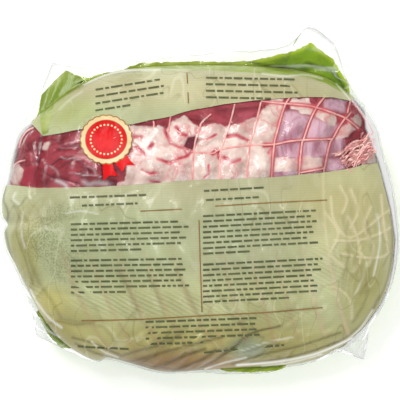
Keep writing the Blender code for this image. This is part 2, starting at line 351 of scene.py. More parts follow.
BUNDLE_STRINGS = (
    ((373, 143), (361.7, 149), (358.8, 155), (353.6, 160.6), (346.7, 167)),
    ((360, 148.6), (358, 156), (351, 163.5)),
    ((336, 157), (339, 162), (342, 168.6)),
    ((344, 167), (347, 160.6), (356, 155)),
    ((346.7, 149.7), (350, 146), (355, 143.4), (358, 140)),
    ((360, 135), (363, 132), (360, 137), (363, 143), (365, 145)),
    ((380, 152.6), (376, 151), (372, 153), (368, 153)),
    ((351, 149), (353, 145.5), (357, 146), (358.8, 149.6), (356, 153), (352, 152.4), (351, 149)),
)

# Strings that only show under the print: turns of the pitch, and highest place in mm, then
# the lowest and highest place and the number of their points. The window's strings go on below
# it in these steps and with this share of the bow. All end at this share of the seam's reach
HIDDEN_STRINGS = ((-6, 8.0), (-5, 8.0), (-4, 8.0), (-3, 8.0), (-2, 8.0), (6, 200.0))
STRING_SPAN = (-100.0, 76.0, 30)
STEPS_BELOW = (18.0, 40.0, 64.0, 90.0, 112.0)
LEAN_BELOW = 0.6
WELL_INSIDE = 0.975

# Steps along the strings, how deep they lie, and the layers of the bundle, in millimetres
STRING_STEP = 1.2
STRING_SINK = 0.9
BUNDLE_STEP = 0.7
BUNDLE_DEPTH = 0.8
BUNDLE_LAYER = 0.7
BUNDLE_LAYERS = 3
BUNDLE_SWAY = 0.4
BUNDLE_WAVES = 1.3

# The tangle of strands beside the knot, in pixels of the photograph
TANGLE_STRANDS = 34
TANGLE_START = (338.0, 165.0)
TANGLE_END = (378.0, 138.0)
TANGLE_SPREAD = (21.0, 19.0)
TANGLE_SWAY = 1.7
TANGLE_MIDDLE = (359.0, 149.0)
TANGLE_HOLLOW = 11.0
TANGLE_DEPTH = 1.6
TANGLE_TAPER = 0.6
TANGLE_STRAY = 1.5
TANGLE_FROM = (0.0, 0.35)
TANGLE_TO = (0.7, 1.0)
TANGLE_WAVES = (1.5, 3.5)

# The print's fields of colour, and painted shade that darkens it towards the left and bottom
# edges: middle and half sizes in pixels of the photograph, colour
PAPER = (182, 187, 150)
PRINT_AND_SHADE_FIELDS = (
    ((200, 192), (190, 24), (196, 196, 164)),
    ((345, 215), (60, 60), (202, 198, 152)),
    ((200, 290), (220, 45), (193, 196, 150)),
    ((100, 245), (80, 46), (175, 183, 146)),
    ((235, 240), (70, 40), (186, 193, 160)),
    ((200, 345), (180, 26), (180, 173, 112)),
    ((180, 364), (70, 13), (158, 128, 88)),
    ((60, 325), (40, 22), (172, 166, 108)),
    ((200, 90), (170, 18), (196, 190, 154)),
    ((60, 112), (40, 16), (182, 192, 134)),
    ((365, 290), (22, 50), (178, 176, 120)),
    ((248, 347), (19, 12), (146, 158, 132)),
    ((24, 262), (16, 40), (172, 170, 112)),
    ((50, 302), (20, 16), (204, 198, 128)),
    ((30, 218), (16, 14), (196, 194, 150)),
)

# Strands of the net that stand out as cream ridges under the print, and speckled tufts
SHOWN_STRANDS = (
    ((330, 197), (333, 220), (347, 237), (363, 230), (380, 216), (391, 209)),
    ((323, 210), (337, 233), (330, 253), (343, 267)),
    ((347, 217), (355, 233), (360, 257), (352, 272)),
    ((370, 207), (363, 227), (373, 247), (368, 266)),
    ((333, 240), (357, 240), (380, 233), (391, 227)),
    ((350, 190), (357, 210), (350, 227)),
    ((340, 253), (360, 257), (380, 257), (389, 252)),
    ((339, 186), (346, 200), (341, 214)),
    ((331, 286), (342, 291), (350, 302), (351, 318)),
)
SPECKLED = (
    ((46, 236), (24, 26), 0.5),
    ((64, 262), (22, 22), 0.4),
    ((62, 212), (20, 9), 0.4),
    ((78, 250), (14, 22), 0.3),
)

# Painted shade in the film's folds and along its edges, then painted white highlights on the film:
# points in pixels, half width in mm, strength
FOLD_SHADE_LINES = (
    (((247, 61), (264, 65), (282, 68), (310, 69.5)), 0.8, 0.7),
    (((306, 63), (327, 69), (335, 75), (348, 94)), 0.8, 0.7),
    (((133, 367), (160, 353), (200, 342), (222, 336)), 1, 0.65),
    (((153, 370), (180, 357), (205, 348)), 1.1, 0.7),
    (((173, 371), (200, 360), (215, 350)), 1.1, 0.7),
    (((113, 359), (135, 351), (158, 345)), 1, 0.6),
    (((118, 364), (146, 357), (170, 349)), 1.1, 0.6),
    (((190, 371), (212, 362), (226, 351)), 1, 0.7),
    (((203, 367), (230, 350), (250, 333), (280, 325)), 0.7, 0.8),
    (((232, 364), (262, 354), (300, 345), (340, 332)), 0.8, 0.6),
    (((250, 363), (285, 357.5), (312, 350.5), (338, 341)), 0.7, 0.7),
    (((73, 337), (92, 342), (110, 350), (122, 355)), 0.8, 0.6),
    (((60, 318), (84, 322), (104, 326)), 0.9, 0.25),
    (((30, 262), (40, 282), (52, 300), (62, 318)), 1.4, 0.3),
    (((22, 226), (27, 250), (38, 275)), 1.3, 0.25),
    (((120, 272), (133, 297), (142, 320)), 1.3, 0.22),
    (((147, 270), (157, 293), (166, 318)), 1.3, 0.22),
    (((177, 270), (187, 290), (200, 318)), 1.3, 0.22),
    (((209, 272), (219, 292), (232, 316)), 1.3, 0.2),
    (((96, 306), (104, 324), (114, 338)), 1.3, 0.2),
    (((341, 215), (347, 250), (342, 290)), 1.2, 0.2),
    (((366, 222), (371, 255), (364, 292)), 1.3, 0.25),
    (((68, 93), (88, 84), (110, 75), (140, 71)), 0.8, 0.3),
    (((6, 186), (4, 200), (9, 213), (6, 230), (13, 262), (23, 290), (36, 311)), 0.9, 0.6),
    (((12, 200), (20, 212), (17, 232), (26, 258), (34, 284)), 0.8, 0.35),
    (((76, 343), (100, 354), (130, 362), (165, 368), (200, 371)), 0.9, 0.5),
    (((390, 215), (392, 240), (390, 266), (384, 288), (374, 308)), 0.8, 0.5),
    (((379, 296), (366, 318), (350, 334), (330, 346)), 1, 0.45),
    (((44, 326), (58, 321), (76, 324), (96, 321)), 0.8, 0.4),
    (((352, 322), (362, 306), (368, 290)), 0.9, 0.35),
    (((27, 198), (20, 206), (14, 207)), 0.8, 0.35),
)
# Painted white highlights of the film, given the same way
PAINTED_HIGHLIGHTS = (
    (((70.6, 173), (78, 173.6), (86, 175.4), (94, 175.2), (102, 177)), 0.35, 0.3),
    (((58, 181), (62, 182.4), (66, 184.6), (68, 187)), 1.3, 0.4),
    (((85, 182), (90, 184.6), (97, 183), (108, 184)), 1.6, 0.25),
    (((44, 160), (47.4, 167), (46, 178)), 0.5, 0.3),
    (((62, 157), (68, 159.6), (75, 158), (82, 160.4)), 0.4, 0.25),
    (((51, 166), (57, 170), (60, 176)), 0.5, 0.22),
    (((88, 166), (94, 169), (97, 174)), 0.5, 0.25),
    (((150, 163), (154, 163.6), (158, 166)), 0.6, 0.25),
    (((31, 124), (22, 134), (16, 147), (12, 158)), 0.6, 0.6),
    (((34, 131), (27, 137), (22, 147)), 0.4, 0.35),
    (((9, 163), (8, 172), (10, 184)), 0.7, 0.5),
    (((237, 365), (280, 361), (317, 353), (352, 338)), 0.8, 0.85),
    (((262, 366), (292, 362), (322, 354)), 0.6, 0.6),
    (((205, 369), (222, 363), (246, 357)), 0.6, 0.7),
    (((240, 351), (262, 343), (292, 336)), 0.5, 0.3),
    (((262, 74), (284, 76.6), (306, 75), (322, 79)), 0.6, 0.35),
    (((84, 85), (104, 76), (126, 71), (160, 70)), 0.6, 0.35),
    (((60, 110), (70, 100), (82, 92)), 0.6, 0.2),
    (((336, 84), (343, 92), (349, 99)), 0.5, 0.4),
    (((92, 341), (104, 351), (118, 357)), 0.6, 0.5),
    (((25, 210), (22, 228), (26, 248)), 0.6, 0.3),
    (((376, 214), (379, 240), (373, 276)), 0.6, 0.4),
    (((352, 300), (360, 280), (365, 262)), 0.5, 0.25),
    (((31, 290), (38, 303), (50, 318), (62, 327)), 0.8, 0.55),
    (((40, 318), (48, 330), (60, 337)), 0.7, 0.5),
    (((68, 213), (84, 211), (99, 214)), 0.5, 0.3),
    (((16, 193), (14, 199), (20, 204)), 0.8, 0.35),
    (((372, 310), (360, 328), (344, 342)), 0.7, 0.5),
    (((352, 101), (362, 114), (372, 132), (379, 152)), 0.7, 0.6),
    (((356, 99), (368, 116), (377, 136)), 0.5, 0.5),
)

# Hatching of the print: middle and half sizes in pixels, and strength
HATCHED = (
    ((150, 303), (75, 12), 0.4),
    ((255, 315), (60, 8), 0.25),
    ((30, 292), (14, 16), 0.35),
    ((326, 268), (24, 26), 0.2),
)

# Wrinkles of the film: middle and spread in pixels, bearing in degrees, number and height
WRINKLE_PLACES = (
    ((190, 352), (36, 9), 36, 46, 1.5),
    ((60, 305), (20, 22), -35, 20, 0.9),
    ((28, 240), (10, 34), 72, 18, 0.9),
    ((265, 350), (40, 9), 18, 24, 1),
    ((362, 250), (14, 54), 80, 24, 0.9),
    ((200, 75), (80, 5), 4, 24, 0.8),
    ((70, 102), (16, 14), 50, 12, 0.7),
    ((200, 260), (90, 50), 60, 34, 0.4),
    ((90, 160), (40, 18), 20, 18, 0.5),
    ((180, 154), (50, 18), 40, 18, 0.35),
    ((330, 330), (30, 14), 30, 16, 0.9),
)

# The round seal, in millimetres, but its middle and the ribbon tails in pixels
SEAL_MIDDLE = (107.0, 140.0)
SEAL_RADIUS = 13.5
SEAL_BORDER = 16.8
SEAL_FLATNESS = 0.94
SEAL_SCALLOPS = 22
SEAL_DOTS = 26
DOT_RADIUS = 0.7
DOT_CIRCLE = SEAL_RADIUS * 0.76
DOT_LIFT = 0.6
RIBBON_LIFT = 0.3

# Inks of the seal: two colours, and the scale of their unevenness in waves a metre
SEAL_INKS = {
    "red": ((194, 4, 14), (204, 16, 22), 45.0),
    "bright": ((214, 16, 20), (204, 8, 14), 60.0),
    "cream": ((226, 208, 166), (212, 186, 136), 60.0),
    "gold": ((168, 122, 62), (146, 100, 48), 60.0),
}
RIBBON_TAILS = (
    ((103.4, 160), (113, 160), (115, 170), (118.5, 176.5), (110.6, 175.6), (104.2, 181)),
    ((113, 160), (127, 154), (130.6, 160.5), (136, 165.5), (127.4, 165.4), (123.4, 172.4)),
)

# Ochre rules, and blocks of rows: first and last place of the top row, rows and pitch
RULES = (
    ((141, 211), (182, 209)),
    ((215, 206), (270, 202.6), (326, 200)),
    ((199, 220), (200.4, 265), (202, 311)),
    ((82, 320), (140, 318.6), (200, 315), (262, 312), (322, 307)),
    ((187, 73), (187.6, 84)),
    ((188, 93), (188.6, 104)),
)
ROW_BLOCKS = (
    ((71, 197.5), (190, 193.5), 1, 6),
    ((204, 191), (326, 184), 1, 6),
    ((83, 205.5), (168, 202), 1, 6),
    ((206, 200), (296, 195), 1, 6),
    ((72, 224), (190, 221), 6, 5.3),
    ((72, 260), (192, 258), 7, 5.3),
    ((203, 216), (320, 210), 8, 5.3),
    ((203, 264), (322, 258), 8, 5.3),
    ((96, 90), (166, 79), 4, 7),
    ((206, 78), (300, 80), 4, 6.6),
    ((146, 321), (262, 317), 5, 5.6),
    ((78, 346), (200, 352), 1, 5),
    ((204, 352), (330, 340), 1, 5),
)
WORD_LENGTHS = (3.0, 12.0)
WORD_GAP = 1.9
LEAST_WORD = 2.0
ROW_SHARE = (0.9, 1.0)
LAST_ROW_SHARE = (0.4, 0.8)

# Half width and lift of the rules and rows in millimetres, and their colours
RULE_SIZE = (0.35, 0.4)
ROW_SIZE = (0.6, 0.45)
OCHRE = ((144, 112, 62), (130, 98, 54))
OLIVE_GREY = ((92, 98, 66), (80, 85, 56))

# Light, as shares of red, green and blue with alpha
WHITE_LIGHT = (1.0, 1.0, 1.0, 1.0)
FLOOR_LIGHT = (0.98, 0.98, 0.98, 1.0)
CLEAR_LIGHT = (0.985, 0.985, 0.985, 1.0)
CREASED_LIGHT = (0.72, 0.73, 0.73, 1.0)
EVEN = (1.0, 1.0, 1.0)

# The stage: the floor's side in metres and glow, the camera's sensor in millimetres, and the
# lights' names, places and sizes in metres, and watts
FLOOR_SIDE = 6.0
FLOOR_GLOW = 0.28
WORLD_STRENGTH = 0.56
SENSOR = 36.0
LIGHTS = (
    ("key_light", (-0.5, 0.85, 1.3), 0.6, 15.0),
    ("fill_light", (0.9, -0.5, 1.2), 0.8, 6.0),
    ("glint_light", (-0.35, 0.25, 1.1), 0.12, 1.3),
)
LIGHTS_AIM = (0.0, 0.0, 0.04)


def as_light(shares):
    """Shares of a colour as the eye sees it, turned into light."""
    return np.where(shares <= 0.04045, shares / 12.92, ((shares + 0.055) / 1.055) ** 2.4)


def linear(colour):
    """A colour of 0 to 255 turned into light, with alpha."""
    return (*as_light(np.array(colour, float) / 255).tolist(), 1.0)


def smooth_curve(knots, steps):
    """Points of a smooth curve from the second of these knots to the last but one."""
    before, start, end, after = knots[:-3], knots[1:-2], knots[2:-1], knots[3:]
    curve = [
        start
        + (end - before) * share / 2
        + (2 * before - 5 * start + 4 * end - after) * share**2 / 2
        + (3 * start - before - 3 * end + after) * share**3 / 2
        for share in np.arange(steps) / steps
    ]
    return np.stack(curve, axis=1).reshape(-1, 2)


def smooth_line(points, steps=8):
    """Points of a smooth open curve through the given ones."""
    knots = np.array(points, float)
    first = 2 * knots[0] - knots[1]
    last = 2 * knots[-1] - knots[-2]
    return np.vstack([smooth_curve(np.vstack([first, knots, last]), steps), knots[-1]])


def from_middle(x, y):
    """Bearings and distances of places, as seen from the middle of the seam."""
    off_x, off_y = x - SEAM_MIDDLE[0], y - SEAM_MIDDLE[1]
    return np.arctan2(off_y, off_x) % math.tau, np.hypot(off_x, off_y)


def placed(bearings, reach):
    """Places at these bearings and distances from the middle of the seam."""
    return SEAM_MIDDLE[0] + reach * np.cos(bearings), SEAM_MIDDLE[1] + reach * np.sin(bearings)


def rising(points):
    """Bearings, rising, and distances of points as seen from the middle of the seam."""
    bearings, distances = from_middle(*np.array(points).T)
    order = np.argsort(bearings)
    return bearings[order], distances[order]


SEAM_CURVE = rising(smooth_curve(np.array((SEAM[-1], *SEAM, *SEAM[:2])), SEAM_STEPS))


def seam_reach(bearings):
    """Distance from the middle out to the seam."""
    return np.interp(bearings, *SEAM_CURVE, period=math.tau)


def film_reach(bearings):
    """Distance from the middle out to the edge of the film."""
    reach = seam_reach(bearings) + HEM_WIDTH
    for edge in LOOSE_FILM:
        known, distances = rising(edge)
        inside = (bearings >= known[0]) & (bearings <= known[-1])
        reach[inside] = np.maximum(reach, np.interp(bearings, known, distances))[inside]
    return reach


EDGE_BEARINGS = np.linspace(0.0, math.tau, EDGE_POINTS, endpoint=False)
FILM_EDGE = np.stack(placed(EDGE_BEARINGS, film_reach(EDGE_BEARINGS)), axis=1)
BOX_MIDDLE = (FILM_EDGE.min(axis=0) + FILM_EDGE.max(axis=0)) / 2


def photo(points):
    """Places on the pack, in millimetres, of points of the photograph."""
    pixels = np.array(points, float)
    x = (pixels[..., 0] - PHOTO_MIDDLE) * PHOTO_SCALE
    y = (PHOTO_MIDDLE - pixels[..., 1]) * PHOTO_SCALE
    return np.stack([x, y], axis=-1)


def fading(distance, width, peak=1.0):
    """The peak at no distance, and near nought at twice the width."""
    return peak * np.exp(-((distance / width) ** 2))


def grown(value, start, run):
    """Nought up to the start, one from a run past it, and straight between."""
    return np.clip((value - start) / run, 0.0, 1.0)


def around(bearings, middle, width):
    """A bump of height one about a bearing. The middle and the width are in degrees."""
    apart = (bearings - math.radians(middle) + math.pi) % math.tau - math.pi
    return fading(apart, math.radians(width))


def seam_height(bearings, share=1.0):
    return SEAM_HEIGHT + SEAM_SWAY * share**2 * np.sin(2 * bearings + SEAM_SWAY_START)


def lobes(x, y):
    return sum(
        height * np.exp(-(((x - at_x) / wide) ** 2) - ((y - at_y) / deep) ** 2)
        for at_x, at_y, wide, deep, height in LOBES
    )


def line_distance(x, y, points):
    """Distance in millimetres to a line of points that are on the pack."""
    nearest = np.full(np.shape(x), np.inf)
    for start, end in zip(points[:-1], points[1:], strict=True):
        run = np.subtract(end, start)
        length = max(float(run @ run), 1e-9)
        share = np.clip(((x - start[0]) * run[0] + (y - start[1]) * run[1]) / length, 0, 1)
        apart = np.hypot(x - start[0] - share * run[0], y - start[1] - share * run[1])
        nearest = np.minimum(nearest, apart)
    return nearest


def inside_distance(x, y, outline):
    """Distance to an outline in pixels, over nought inside it and under nought outside."""
    points = photo(outline)
    ring = np.vstack([points, points[:1]])
    inside = np.zeros(np.shape(x), bool)
    for (x0, y0), (x1, y1) in zip(ring[:-1], ring[1:], strict=True):
        if y0 != y1:
            crosses = (y0 > y) != (y1 > y)
            inside ^= crosses & (x < (x1 - x0) * (y - y0) / (y1 - y0) + x0)
    return line_distance(x, y, ring) * np.where(inside, 1.0, -1.0)


def deepest_inside(x, y, outlines):
    return np.maximum.reduce([inside_distance(x, y, outline) for outline in outlines])


def nearest_line(x, y, lines, steps=1):
    """Distance to the nearest of these lines, made smooth with this many steps a stretch."""
    smooth = [smooth_line(photo(points), steps) for points in lines]
    return np.minimum.reduce([line_distance(x, y, line) for line in smooth])


def line_weight(x, y, lines):
    """One on the lines and nought away from them; each line is points, half width, strength."""
    return np.maximum.reduce(
        [fading(nearest_line(x, y, [points], 5), *size) for points, *size in lines]
    )


def oval(x, y, middle, half_sizes):
    """Nought in the middle of an oval that is given in pixels, and one on its outline."""
    (at_x, at_y), (wide, deep) = photo(middle), half_sizes
    return ((x - at_x) / (wide * PHOTO_SCALE)) ** 2 + ((y - at_y) / (deep * PHOTO_SCALE)) ** 2


def field_weight(x, y, fields):
    """Strength of soft oval fields: each has its middle, half sizes and strength."""
    return np.maximum.reduce(
        [strength * np.exp(-(oval(x, y, *field) ** 2)) for *field, strength in fields]
    )


def net_swell(x, y):
    """Height to which the meat swells inside each mesh of the net."""
    along_x = (x - STRING_SHIFT - string_bow(y)) / STRING_PITCH
    along_y = (y - CROSS_SHIFT) / CROSS_PITCH
    return NET_DEPTH * (np.sin(math.pi * along_x) * np.sin(math.pi * along_y)) ** 2


def string_bow(y):
    """How far right a long string has bowed at this height on the pack."""
    return STRING_BOW * (y - STRING_BOW_MIDDLE) ** 2


def gathers(x, y):
    off_x, off_y = x - GATHER_MIDDLE[0], y - GATHER_MIDDLE[1]
    across = off_y * math.cos(GATHER_BEARING) - off_x * math.sin(GATHER_BEARING)
    fade = np.exp(-((off_x / GATHER_SIZE[0]) ** 2) - (off_y / GATHER_SIZE[1]) ** 2)
    return GATHER_HEIGHT * fade * np.sin(math.tau * across / GATHER_PITCH)


def dome_height(x, y):
    """Height of the bag's back panel over a place on it, out to the seam."""
    bearings, distances = from_middle(x, y)
    share = np.minimum(distances / seam_reach(bearings), 1.0)
    rise = (1 - share**DOME_FULLNESS) ** (1 / DOME_ROUNDNESS)
    creases = sum(
        fading(line_distance(x, y, (start, end)), half_width, deepest)
        for start, end, deepest, half_width in CREASES
    )
    body = DOME_HEIGHT * (1 - TAPER * x / SEAM[0][0]) + lobes(x, y) - creases
    swell = rise * (body + net_swell(x, y) + gathers(x, y))
    return seam_height(bearings, share) + FILM_THICKNESS / 2 + swell


def loose_height(bearings, reach, share):
    """Height of the loose film at this share of the way from the seam to its edge."""
    lift = sum(rise * around(bearings, at, width) for at, width, rise in EAR_CURLS)
    ripple = RIPPLE_HEIGHT * np.sin(math.tau * bearings * reach / RIPPLE_LENGTH)
    return seam_height(bearings) + lift * share**EAR_CURVE + ripple * share


def rib_bearings(ribs):
    """Bearings that space the ribs evenly along the film's edge."""
    steps = np.hypot(*(np.roll(FILM_EDGE, -1, axis=0) - FILM_EDGE).T)
    length = np.concatenate([[0.0], np.cumsum(steps)[:-1]])
    return np.interp(np.arange(ribs) * steps.sum() / ribs, length, EDGE_BEARINGS)


def disc(cells, crown_share, shares):
    """Bearings and shares of the points of a round sheet, and its faces.

    A square grid pressed into a disc covers the crown, and rings at the given shares
    go on from its rim.
    """
    ribs = 4 * cells
    bearings = rib_bearings(ribs)
    side = np.linspace(-1.0, 1.0, cells + 1)
    across, along = np.meshgrid(side, side, indexing="ij")
    wide = np.abs(across) > np.abs(along)
    radius = np.where(wide, across, along)
    other = np.where(wide, along, across)
    slant = np.divide(other, radius, out=np.zeros_like(radius), where=radius != 0)
    turn = np.where(wide, slant, 2 - slant) * math.pi / 4
    turn = (turn + np.where(radius < 0, math.pi, 0.0)) % math.tau
    even = np.arange(ribs + 1) / ribs * math.tau
    uneven = np.interp(turn, even, np.append(bearings, bearings[0] + math.tau))
    bearing = turn + (uneven - turn) * radius**2
    on_rim = np.argwhere(np.abs(radius) == 1.0)
    on_rim = on_rim[np.argsort(turn[tuple(on_rim.T)])]
    index = np.arange((cells + 1) ** 2).reshape(cells + 1, cells + 1)
    faces = [np.stack([index[:-1, :-1], index[1:, :-1], index[1:, 1:], index[:-1, 1:]], -1)]
    inner = index[tuple(on_rim.T)]
    for step in range(len(shares)):
        outer = (cells + 1) ** 2 + step * ribs + np.arange(ribs)
        faces.append(np.stack([inner, outer, np.roll(outer, -1), np.roll(inner, -1)], -1))
        inner = outer
    every_bearing = np.concatenate([bearing.ravel(), np.tile(bearings, len(shares))])
    every_share = np.concatenate([crown_share * np.abs(radius).ravel(), np.repeat(shares, ribs)])
    return every_bearing, every_share, np.concatenate([block.reshape(-1, 4) for block in faces])


def woven(rows, columns, closed=True):
    """Faces of points that are numbered row by row, closed round each row or open."""
    first = np.arange(rows - 1)[:, None] * columns
    one = np.arange(columns if closed else columns - 1)
    beside = (one + 1) % columns
    corners = [first + one, first + one + columns, first + beside + columns, first + beside]
    return np.stack(corners, axis=-1).reshape(-1, 4)


def joined(parts):
    """One set of points and faces out of several."""
    points, faces = zip(*parts)
    starts = np.cumsum([0, *map(len, points[:-1])])
    return np.concatenate(points), np.concatenate([*map(np.add, faces, starts)])


def directions(line):
    ahead = np.gradient(line, axis=0)
    return ahead / np.linalg.norm(ahead, axis=1)[:, None]


def ride(piece):
    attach(piece, "root")
    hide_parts(NODE)


def make_piece(name, made, material, attributes=()):
    """A smooth mesh piece on the frame, made of points in millimetres and faces.

    The attributes give its material a value or a colour at each point.
    """
    points, faces = made
    data = bpy.data.meshes.new(name)
    data.from_pydata(((points - (*BOX_MIDDLE, 0.0)) * MM).tolist(), [], faces.tolist())
    for key, values in dict(attributes).items():
        kind, field = ("FLOAT_COLOR", "color") if np.ndim(values) == 2 else ("FLOAT", "value")
        layer = data.attributes.new(key, kind, "POINT")
        layer.data.foreach_set(field, np.asarray(values, np.float32).ravel())
    data.materials.append(material)
    data.shade_smooth()
    ride(new_object(name, data))


def new_object(name, data):
    made = bpy.data.objects.new(name, data)
    bpy.context.scene.collection.objects.link(made)
    return made


class Look:
    """A new material, with calls that add nodes to it and give their outputs."""

    def __init__(self, name):
        self.material = bpy.data.materials.new(name)
        self.material.use_nodes = True
        self.tree = self.material.node_tree
        self.tree.nodes.clear()

    def node(self, kind, inputs=(), **settings):
        """A new node, with its inputs set or joined to other nodes."""
        made = self.tree.nodes.new("ShaderNode" + kind)
        for key, value in settings.items():
            setattr(made, key, value)
        for key, value in dict(inputs).items():
            if isinstance(value, bpy.types.NodeSocket):
                self.tree.links.new(value, made.inputs[key])
            else:
                made.inputs[key].default_value = value
        return made.outputs

    def finished(self, shader):
        self.node("OutputMaterial", {"Surface": shader})
        return self.material

    def attribute(self, name, output="Fac"):
        return self.node("Attribute", attribute_name=name)[output]

    def arithmetic(self, operation, first, second=0.0):
        return self.node("Math", {0: first, 1: second}, operation=operation)[0]

    def add(self, first, second):
        return self.arithmetic("ADD", first, second)

    def times(self, first, second):
        return self.arithmetic("MULTIPLY", first, second)

    def ramp(self, value, low, high):
        """Nought where the value is below low, one above high, and smooth between."""
        inputs = {"Value": value, "From Min": low, "From Max": high}
        return self.node("MapRange", inputs, interpolation_type="SMOOTHSTEP")["Result"]

    def mixed(self, factor, first, second, blend="MIX"):
        """Two colours mixed. Three numbers are a colour of 0 to 255, and four are light."""
        first, second = (
            linear(colour) if isinstance(colour, tuple) and len(colour) == 3 else colour
            for colour in (first, second)
        )
        inputs = {0: factor, 6: first, 7: second}
        return self.node("Mix", inputs, data_type="RGBA", blend_type=blend)[2]

    def layered(self, colour, *layers):
        """A colour with others over it, each given with the share that it covers."""
        for share, over in layers:
            colour = self.mixed(share, colour, over)
        return colour

    def noise(self, scale, detail=3.0, stretch=(1.0, 1.0, 1.0), roughness=0.5, distortion=0.0):
        """Noise of the given scale in waves a metre, drawn out along the axes."""
        place = self.node("TexCoord")["Object"]
        inputs = {
            "Vector": self.node("Mapping", {"Vector": place, "Scale": stretch})[0],
            "Scale": scale,
            "Detail": detail,
            "Roughness": roughness,
            "Distortion": distortion,
        }
        return self.node("TexNoise", inputs)["Fac"]

    def about_nought(self, *noise):
        return self.arithmetic("SUBTRACT", self.noise(*noise), 0.5)

    def ridges(self, width, *noise):
        """One along thin lines that wind with the noise, and nought beside them."""
        return self.ramp(self.arithmetic("ABSOLUTE", self.about_nought(*noise)), width, 0.0)

    def zone(self, name, scale, height, low, high, detail=3.0):
        """A ramp of an attribute, its edge made uneven by noise of this scale and height."""
        wobble = self.times(self.about_nought(scale, detail), height)
        return self.ramp(self.add(self.attribute(name), wobble), low, high)

    def stripes(self, bearing, pitch):
        """Fine stripes of the print: one on a stripe and nought beside it."""
        apart = self.node("SeparateXYZ", {0: self.node("TexCoord")["Object"]})
        turn, wave = math.radians(bearing), math.tau / (pitch * MM)
        along = self.times(apart[0], math.cos(turn) * wave)
        across = self.times(apart[1], math.sin(turn) * wave)
        sway = self.times(self.noise(30.0, 1.0), 9.0)
        phase = self.add(self.add(along, across), sway)
        return self.ramp(self.arithmetic("SINE", phase), 0.1, 0.8)

    def bump(self, height, distance, strength):
        inputs = {"Height": height, "Distance": distance, "Strength": strength}
        return self.node("Bump", inputs)["Normal"]

    def crinkle(self):
        """The fine crinkles of shrunk film."""
        broad = self.noise(60.0, 2.0, EVEN, 0.5, 0.8)
        fine = self.noise(260.0, 2.0, (1.0, 0.5, 1.0), 0.5, 1.2)
        return self.bump(self.add(broad, self.times(fine, 0.35)), 0.0022, 0.5)

    def surface(self, colour, roughness, **more):
        """A shader of this colour. More inputs are named with underscores for spaces."""
        inputs = {key.replace("_", " "): value for key, value in more.items()}
        inputs |= {"Base Color": colour, "Roughness": roughness}
        return self.node("BsdfPrincipled", inputs)[0]

    def either(self, share, first, second):
        return self.node("MixShader", {0: share, 1: first, 2: second})[0]

    def clear_film(self, normal):
        """Thin clear film: light goes through it, apart from gloss, milkiness with painted light,
        and fine creases.
        """
        creased = self.attribute("creased")
        grey = self.mixed(creased, CLEAR_LIGHT, CREASED_LIGHT)
        through = self.node("BsdfTransparent", {"Color": grey})[0]
        white = {"Color": WHITE_LIGHT, "Roughness": 0.07, "Normal": normal}
        shine = self.node("BsdfAnisotropic", white)[0]
        gloss = self.node("Fresnel", {"IOR": 1.31, "Normal": normal})[0]
        crease = self.times(self.ridges(0.02, 40.0, 1.0, (0.35, 1.0, 1.0), 0.5, 0.5), creased)
        tone = self.mixed(creased, (250, 250, 250), (206, 207, 206))
        milky = self.surface(tone, 0.3, Normal=normal)
        # The milky veil also carries painted light: white at the hem, at the window's rim and
        # along the painted highlights
        veil = self.arithmetic("MAXIMUM", self.attribute("haze"), crease)
        return self.either(veil, self.either(gloss, through, shine), milky)

    def printed(self, colour, share, settings):
        """Print of this colour over this share of the film, and clear film elsewhere."""
        normal = self.crinkle()
        ink = self.surface(
            colour,
            settings.roughness,
            Specular_IOR_Level=0.25,
            Coat_Weight=0.15,
            Coat_Roughness=0.08,
            Normal=normal,
        )
        return self.finished(self.either(share, self.clear_film(normal), ink))


def back_print(settings):
    """Clear film, printed in pale, dull greens round its window, with painted shade and highlights
    of its folds and crinkles.
    """
    look = Look("back_print")
    cloud = look.ramp(look.noise(22.0, 4.0), 0.35, 0.7)
    shade = look.mixed(cloud, (222, 218, 204), (246, 246, 240))
    grain = look.ramp(look.noise(800.0, 2.0), 0.42, 0.62)
    patch = look.ramp(look.noise(28.0, 3.0, (1.0, 2.0, 1.0)), 0.4, 0.62)
    patchy = look.ramp(look.noise(16.0, 1.0), 0.4, 0.62)
    # Thin winding lines: painted highlights and painted shade of the film's crinkles
    pale, dark = (
        look.times(look.ridges(0.014, scale, 1.0, (1.0, 0.4, 1.0), 0.5, 0.3), patchy)
        for scale in (30.0, 52.0)
    )
    colour = look.layered(
        # The print's colour, with painted shade towards the left and bottom edges
        look.mixed(1.0, look.attribute("tint", "Color"), shade, "MULTIPLY"),
        (look.times(look.stripes(62.0, 2.6), look.attribute("hatched")), (128, 124, 80)),
        (look.times(grain, look.attribute("speckled")), (92, 98, 66)),
        (look.times(look.stripes(92.0, 1.6), 0.12), (128, 126, 88)),
        (look.attribute("net_show"), (224, 210, 174)),
        (look.attribute("stained"), (160, 124, 96)),
        (
            look.ramp(look.attribute("green"), -0.4, 0.4),
            look.mixed(patch, (122, 142, 46), (166, 176, 106)),
        ),
        (look.times(pale, 0.2), (236, 234, 206)),
        (look.times(dark, 0.4), (118, 112, 66)),
        # Painted shade in the film's folds
        (look.attribute("fold"), (74, 62, 28)),
        # Painted white highlights of the film
        (look.attribute("gleam"), (250, 250, 244)),
    )
    return look.printed(colour, look.zone("ink", 300.0, 0.5, -0.12, 0.12), settings)


def front_print(settings):
    """Film printed bright green, clear past the print's edge, with a painted glow just inside that
    edge and painted shade in its folds.
    """
    look = Look("front_print")
    patch = look.ramp(look.noise(30.0, 3.0), 0.35, 0.65)
    colour = look.layered(
        look.mixed(patch, (110, 146, 0), (138, 172, 8)),
        # Painted glow: lighter lime just inside the green print's edge
        (look.ramp(look.attribute("ink"), 3.5, 0.4), (176, 200, 36)),
        (look.attribute("olive"), (160, 168, 70)),
        # Painted shade in the green film's folds
        (look.attribute("fold"), (40, 58, 6)),
    )
    return look.printed(colour, look.zone("ink", 260.0, 2.0, -0.1, 0.1, 1.0), settings)


